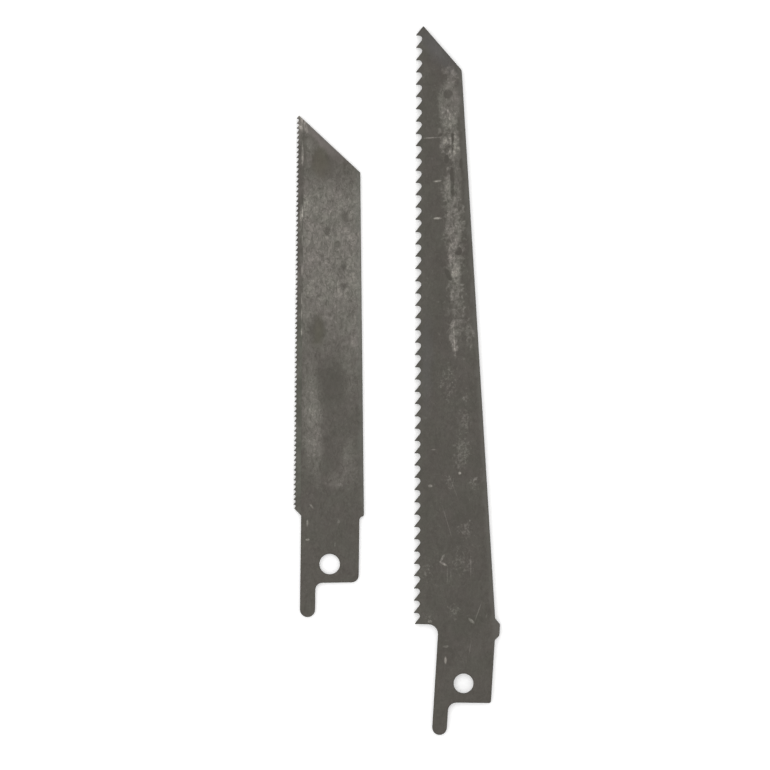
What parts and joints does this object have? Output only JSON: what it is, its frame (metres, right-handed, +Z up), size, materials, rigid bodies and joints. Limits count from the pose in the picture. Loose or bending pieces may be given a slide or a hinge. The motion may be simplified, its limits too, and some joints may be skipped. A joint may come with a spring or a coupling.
{
  "type": "reciprocating saw blades",
  "caption": "Flat reciprocating saw blades: a long coarse-toothed blade beside a short fine-toothed blade, each with a tang, a round tang hole and a tongue.",
  "frame": {"origin": "middle of the pair's footprint, at the level of the lowest set teeth, which the blades rest on", "axes": "+Y from the tangs to the noses, +X from the short blade to the long one (away from the teeth), +Z up through the blades' thickness"},
  "size_m": [0.045, 0.1542, 0.0018],
  "materials": {
    "carbon_steel": "worn dark patina over ground steel",
    "spring_steel": "mottled grey patina over ground steel",
    "high_speed_steel": "dark, hardened, worn bright at the tips"
  },
  "bodies": {
    "long_blade": {"long_blade": "carbon_steel"},
    "short_blade": {"short_blade_backer": "spring_steel", "short_blade_tooth_strip": "high_speed_steel"}
  },
  "joints": [
    {"name": "short_blade_lift", "type": "slide", "parent": "long_blade", "child": "short_blade", "axis": [0, 0, 1], "range_m": [0, 0.05]}
  ]
}
